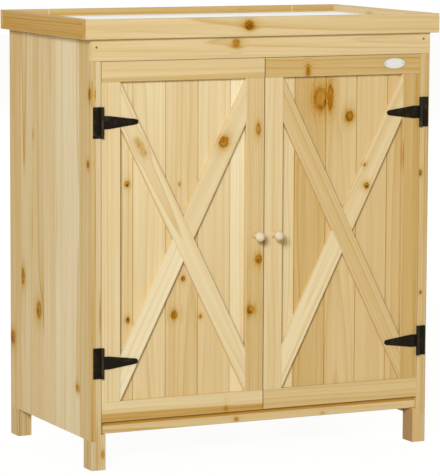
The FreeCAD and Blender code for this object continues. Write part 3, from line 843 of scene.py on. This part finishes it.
class CABINET_OT_doors(Operator):
    """Pine for the boards, rails, stiles and braces of both doors, and for their knobs"""
    bl_idname = "cabinet.dress_doors"
    bl_label = "Doors"

    def execute(self, context):
        def boards_fade(wood, place, tone):
            return tone + (0.43 - wood.dot(place, Z_AXIS)) * 0.2

        left = Timber("left_door_boards", Z_AXIS, X_AXIS, 0.32, 0.27, 0.35, 0.31, 0.15)
        knots = spots((-283.5, 539.6, 9, 11, 1.15, 0.35), (-175.3, 535.5, 4, 8, 0.9, 0.3),
                      (-167.0, 354.5, 8, 10, 1.15, 0.35), (-185.6, 286.1, 13.5, 15, 0.95, 0.1),
                      (-281.9, 282.0, 8, 10, 1.1, 0.3), (-130.4, 279.7, 6.5, 8, 1.0, 0.25))
        dress_in_pine(context, left, knots, change=boards_fade, seam=0.2)
        right = Timber("right_door_boards", Z_AXIS, X_AXIS, 0.26, 0.51, 0.4, 0.4, 0.44)
        knots = spots((124, 689, 31, 44, 0.62, 0.0), (145, 692, 13, 54, 1.05, 0.1),
                      (113, 697, 7, 20, 0.2, 0.0), (122, 671, 14, 8, 0.2, 0.0),
                      (135, 682, 4, 6, 0.7, 0.0), (187.7, 652.9, 17, 20, 1.15, 0.06),
                      (171, 634, 12, 30, 0.1, 0))
        dress_in_pine(context, right, knots, contrast=0.8, seam=0.2)

        rails = {
            "left_door_top_rail": (0.34, (), band_below(744 * MM, 0.17, -0.01)),
            "right_door_top_rail": (0.54, spots((92, 741.8, 20, 8, 0.8)), None),
            "left_door_bottom_rail": (0.29, spots((-79.7, 99.3, 26, 6, 0.3)),
                                      band_below(103.5 * MM, 0.36, 0.013)),
            "right_door_bottom_rail": (0.41, (), band_below(104.5 * MM, 0.08, 0.014)),
        }
        for name, (tone, knots, band) in rails.items():
            dress_in_pine(context, Timber(name, X_AXIS, Z_AXIS, tone), knots, change=band,
                          contrast=0.8)

        self.stile(context, "left_door_hinge_stile", 0.28)
        knots = spots((-13.7, 635.4, 10, 21, 0.85, -0.1), (-12.0, 384.7, 14, 17, 0.85, 0.2),
                      (-27.9, 287.3, 16, 17, 0.75, 0.25))
        self.stile(context, "left_door_knob_stile", 0.39, knots,
                   change=shade_past(Z_AXIS, 0.46, 0.34, 0.08))
        self.stile(context, "right_door_knob_stile", 0.29)
        crack = spots((302.5, 573, 2.8, 44, 1.2))
        self.stile(context, "right_door_hinge_stile", 0.57, streaks=crack)
        self.braces(context, "left_door", 0.23, (0.12, 0.24))
        self.braces(context, "right_door", 0.43, (0.18, 0.29))
        return {"FINISHED"}

    def stile(self, context, node, tone, knots=(), **ways):
        """A stile's wood lies in the frame, also where the stile carries a knob."""
        timber = Timber(node, Z_AXIS, X_AXIS, tone)
        timber.middle.y = FRONT + FRAME_THICK / 2
        timber.thick = FRAME_THICK
        turned = self.turned_knob(timber.middle.x) if "knob" in node else None
        dress_in_pine(context, timber, knots, turned=turned, **ways)

    @staticmethod
    def turned_knob(knob_x):
        """The knob in front of the stile: paler wood, its end grain crossed by fine rings, and
        painted shade on its neck.
        """
        def turn(wood, place, tone, height):
            # Painted shade: towards the door the neck keeps the stile's darker tone, blending into
            # the knob's own wood
            knob_past_neck_shade = wood.step(wood.dot(place, Y_AXIS), FRONT - 1 * MM, FRONT - 17 * MM)
            pith = (knob_x + 14 * MM, 0, DOOR_MIDDLE - 9 * MM)
            away = wood.vector("MULTIPLY", wood.vector("SUBTRACT", place, pith), (1, 0.04, 1))
            ring = wood.length(away) / (1.3 * MM)
            late = wood.ramp(ring - math.floor(ring), LATEWOOD)
            fibre = wood.noise(place, (900, 60, 900))
            knob_tone = 0.18 + late * 0.07 + fibre * 0.1
            lathe = wood.noise(place, (20, 1500, 20), 1.0)
            tone = tone * (1 - knob_past_neck_shade) + knob_tone * knob_past_neck_shade
            height = height * (1 - knob_past_neck_shade) + lathe * 0.4 * knob_past_neck_shade
            return tone, height, knob_past_neck_shade
        return turn

    @staticmethod
    def braces(context, door, long_tone, short_tones):
        """The braces' grain follows their slope, whose edges run from corner to corner."""
        left, right = sorted((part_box(door + "_hinge_stile"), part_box(door + "_knob_stile")),
                             key=lambda box: box[0].x)
        width = right[0].x - left[1].x
        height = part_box(door + "_top_rail")[0].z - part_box(door + "_bottom_rail")[1].z
        diagonal = math.sqrt(height ** 2 + width ** 2 - BRACE_WIDTH ** 2)
        slope = (height * width - BRACE_WIDTH * diagonal) / (width ** 2 - BRACE_WIDTH ** 2)
        rising = Vector((1, 0, slope)).normalized()
        falling = Vector((1, 0, -slope)).normalized()
        knots = {
            "left_door_long_brace": spots((-267, 622, 11, 12, 0.55, 0.25),
                                          (-260, 613, 12, 14, 0.5, 0.3),
                                          (-253, 599, 13, 15, 0.6, 0.25)),
            "left_door_short_braces": spots((-87.2, 613.2, 21, 22, 1.3, 0.1, 1)),
            "right_door_short_braces": spots((216.6, 558.5, 5.5, 7, 1.1, 0.5, 1),
                                             (221.4, 517.1, 11, 12, 1.4, 0.35, 1)),
        }
        long_brace = Timber(door + "_long_brace", falling,
                            rising.cross(falling).cross(falling).normalized(), long_tone)
        short_braces = Timber(door + "_short_braces", rising, rising.cross(Y_AXIS), *short_tones,
                              which=count_past(Z_AXIS, DOOR_MIDDLE))
        for timber in (long_brace, short_braces):
            timber.pitch = BRACE_WIDTH
            dress_in_pine(context, timber, knots.get(timber.node, ()))


class CABINET_OT_hinges(Operator):
    """Black coating for the hinges, with a domed screw in each of their holes"""
    bl_idname = "cabinet.dress_hinges"
    bl_label = "Hinges"

    def execute(self, context):
        fittings = context.scene.cabinet_fittings
        black = coated_black(context)

        def add_screw(mesh, x, z, turn):
            pan_head(mesh, facing(Vector((x, LEAF_FACE, z)), -Y_AXIS, turn),
                     fittings.screw_radius, fittings.screw_height)

        for side, sign in SIDES:
            for node in ("_hinge_leaves", "_hinge_straps", "_hinge_pins"):
                dress(side + node, black)
            low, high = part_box(side + "_hinge_leaves")
            outer = low.x if sign < 0 else high.x
            hinge_x = outer - sign * LEAF_WIDTH
            leaf_screws = bmesh.new()
            strap_screws = bmesh.new()
            turn = 0.3
            for level in (low.z + LEAF_HEIGHT / 2, high.z - LEAF_HEIGHT / 2):
                for rise in (-LEAF_HOLE_PITCH / 2, LEAF_HOLE_PITCH / 2):
                    add_screw(leaf_screws, outer - sign * LEAF_HOLE_INSET, level + rise, turn)
                    turn += 0.9
                for distance in STRAP_HOLES:
                    add_screw(strap_screws, hinge_x - sign * distance, level, turn)
                    turn += 0.7
            add_piece(side + "_leaf_screws", leaf_screws, black, "carcass")
            add_piece(side + "_strap_screws", strap_screws, black, side + "_door")
        return {"FINISHED"}


class CABINET_OT_zinc_fittings(Operator):
    """Zinc for the strike plates, and the screws that hold the knobs from inside"""
    bl_idname = "cabinet.dress_zinc_fittings"
    bl_label = "Strike plates and knob screws"

    def execute(self, context):
        fittings = context.scene.cabinet_fittings
        zinc = zinc_coated("zinc_fittings", context.scene.cabinet_metal.zinc, 400)
        for side, sign in SIDES:
            dress(side + "_strike_plate", zinc)
            low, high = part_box(side + "_door_knob_stile")
            place = Vector(((low.x + high.x) / 2, DOOR_BACK, DOOR_MIDDLE))
            screw = bmesh.new()
            pan_head(screw, facing(place, Y_AXIS, 0.5 * sign), 1.2 * fittings.screw_radius,
                     1.5 * fittings.screw_height)
            add_piece(side + "_knob_screw", screw, zinc, side + "_door")
        return {"FINISHED"}


class CABINET_OT_nails(Operator):
    """The nail heads at the ends of the apron"""
    bl_idname = "cabinet.add_nails"
    bl_label = "Nails"

    def execute(self, context):
        radius = context.scene.cabinet_fittings.nail_radius
        profile = [(0, 0), (0, 0.08 * MM), (0.15 * radius, 0.14 * MM), (0.6 * radius, 0.1 * MM),
                   (0.85 * radius, 0.06 * MM)]
        nails = bmesh.new()
        for place in NAILS:
            add_head(nails, facing(place, -Y_AXIS), radius, radius, profile, 18)
        add_piece("apron_nails", nails, stained_steel(context), "carcass")
        return {"FINISHED"}


class CABINET_OT_plate(Operator):
    """The bare oval plate on the right door's top rail, with a pin at each end"""
    bl_idname = "cabinet.add_plate"
    bl_label = "Oval plate"

    def execute(self, context):
        fittings = context.scene.cabinet_fittings
        thick = fittings.plate_thick
        profile = [(0, 0), (0, 0.45 * thick), (0.25 * MM, 0.75 * thick), (0.7 * MM, thick),
                   (1.3 * MM, 0.98 * thick), (1.8 * MM, 0.72 * thick), (2.5 * MM, 0.62 * thick),
                   (5 * MM, 0.7 * thick), (8 * MM, 0.76 * thick)]
        plate = bmesh.new()
        add_head(plate, facing(PLATE_MIDDLE, -Y_AXIS), fittings.plate_length / 2,
                 fittings.plate_height / 2, profile, 72)
        add_piece("oval_plate", plate, plate_enamel(context), "right_door")

        profile = [(0, 0), (0, 0.2 * MM), (0.2 * MM, 0.5 * MM), (0.6 * MM, 0.7 * MM)]
        pins = bmesh.new()
        for sign in (-1, 1):
            place = PLATE_MIDDLE + Vector((sign * PIN_FROM_MIDDLE, -0.6 * thick, -0.7 * MM))
            add_head(pins, facing(place, -Y_AXIS), PIN_RADIUS, PIN_RADIUS, profile, 16)
        steel = zinc_coated("plate_pins", dimmed(context.scene.cabinet_metal.zinc, 0.25), 900)
        add_piece("plate_pins", pins, steel, "right_door")
        return {"FINISHED"}


class CABINET_OT_studio(Operator):
    """The white floor and room, the lamps and the camera"""
    bl_idname = "cabinet.add_studio"
    bl_label = "Studio"

    def execute(self, context):
        studio = context.scene.cabinet_studio
        self.floor(studio)
        self.room(context, studio)
        self.lamps(studio)
        self.camera(context, studio)
        context.scene.view_settings.view_transform = "Standard"
        return {"FINISHED"}

    @staticmethod
    def floor(studio):
        paper = Finish("studio_floor")
        speck = paper.noise(paper.place(), 40)
        colour = paper.mix(speck, studio.floor_grey, dimmed(studio.floor_grey, 0.98))
        lit = paper.node("ShaderNodeBsdfDiffuse", None, {0: colour})
        glow = paper.node("ShaderNodeEmission", None,
                          {"Color": (1, 1, 1, 1), "Strength": FLOOR_GLOW})
        factor = paper.seen_directly() * FLOOR_GLOW_SHARE
        paper.show(paper.node("ShaderNodeMixShader", None, {0: factor, 1: lit, 2: glow}))
        mesh = bmesh.new()
        bmesh.ops.create_grid(mesh, x_segments=8, y_segments=8, size=FLOOR_REACH)
        floor = add_mesh("studio_floor", mesh, paper.made)

    @staticmethod
    def room(context, studio):
        room = Finish("studio_room", "worlds")
        context.scene.world = room.made
        seen = room.seen_directly()
        strength = studio.sky_level + seen * (1 - studio.sky_level)
        colour = room.mix(seen, studio.sky_tint, (1, 1, 1))
        room.show(room.node("ShaderNodeBackground", None, {"Color": colour, "Strength": strength}),
                  "ShaderNodeOutputWorld")

    @staticmethod
    def lamps(studio):
        for name, (place, size, power) in LAMPS.items():
            light = bpy.data.lights.new(name, "AREA")
            light.shape = "SQUARE"
            light.size = size
            light.energy = getattr(studio, power)
            if name == "key_light":
                light.color = studio.key_tint
            lamp = add_object(name, light)
            lamp.matrix_world = facing(place, place - LAMP_TARGET)
            lamp.visible_glossy = False

    @staticmethod
    def camera(context, studio):
        """The camera at the photograph's viewing angle."""
        yaw, pitch, roll = (math.radians(turn) for turn in CAMERA_TURNS)
        turn = (Matrix.Rotation(-yaw, 4, "Z") @ Matrix.Rotation(math.pi / 2 - pitch, 4, "X")
                @ Matrix.Rotation(roll, 4, "Z"))
        data = bpy.data.cameras.new("photo_camera")
        data.sensor_fit = "VERTICAL"
        data.sensor_height = 36
        data.lens = studio.focal_length
        data.clip_end = 200
        camera = add_object("photo_camera", data)
        camera.matrix_world = Matrix.Translation(CAMERA_PLACE) @ turn
        context.scene.camera = camera


OPERATORS = (CABINET_OT_tray, CABINET_OT_legs, CABINET_OT_sides, CABINET_OT_front_rails,
             CABINET_OT_inside, CABINET_OT_doors, CABINET_OT_hinges, CABINET_OT_zinc_fittings,
             CABINET_OT_nails, CABINET_OT_plate, CABINET_OT_studio)
SETTINGS = (("cabinet_pine", CabinetPine), ("cabinet_metal", CabinetMetal),
            ("cabinet_fittings", CabinetFittings), ("cabinet_studio", CabinetStudio))


class CABINET_PT_pieces(Panel):
    """Lists the groups of pieces and the settings they are made with"""
    bl_idname = "CABINET_PT_pieces"
    bl_label = "Garden storage cabinet"
    bl_space_type = "VIEW_3D"
    bl_region_type = "UI"
    bl_category = "Cabinet"

    def draw(self, context):
        for operator in OPERATORS:
            self.layout.operator(operator.bl_idname)
        for name, group in SETTINGS:
            settings = getattr(context.scene, name)
            column = self.layout.box().column()
            for key in group.__annotations__:
                column.prop(settings, key)


def register():
    for name, group in SETTINGS:
        bpy.utils.register_class(group)
        setattr(bpy.types.Scene, name, PointerProperty(type=group))
    for operator in OPERATORS:
        bpy.utils.register_class(operator)
    bpy.utils.register_class(CABINET_PT_pieces)


def unregister():
    bpy.utils.unregister_class(CABINET_PT_pieces)
    for operator in reversed(OPERATORS):
        bpy.utils.unregister_class(operator)
    for name, group in reversed(SETTINGS):
        delattr(bpy.types.Scene, name)
        bpy.utils.unregister_class(group)


def main():
    register()
    for operator in OPERATORS:
        group, name = operator.bl_idname.split(".")
        getattr(getattr(bpy.ops, group), name)()


if __name__ == "__main__":
    main()
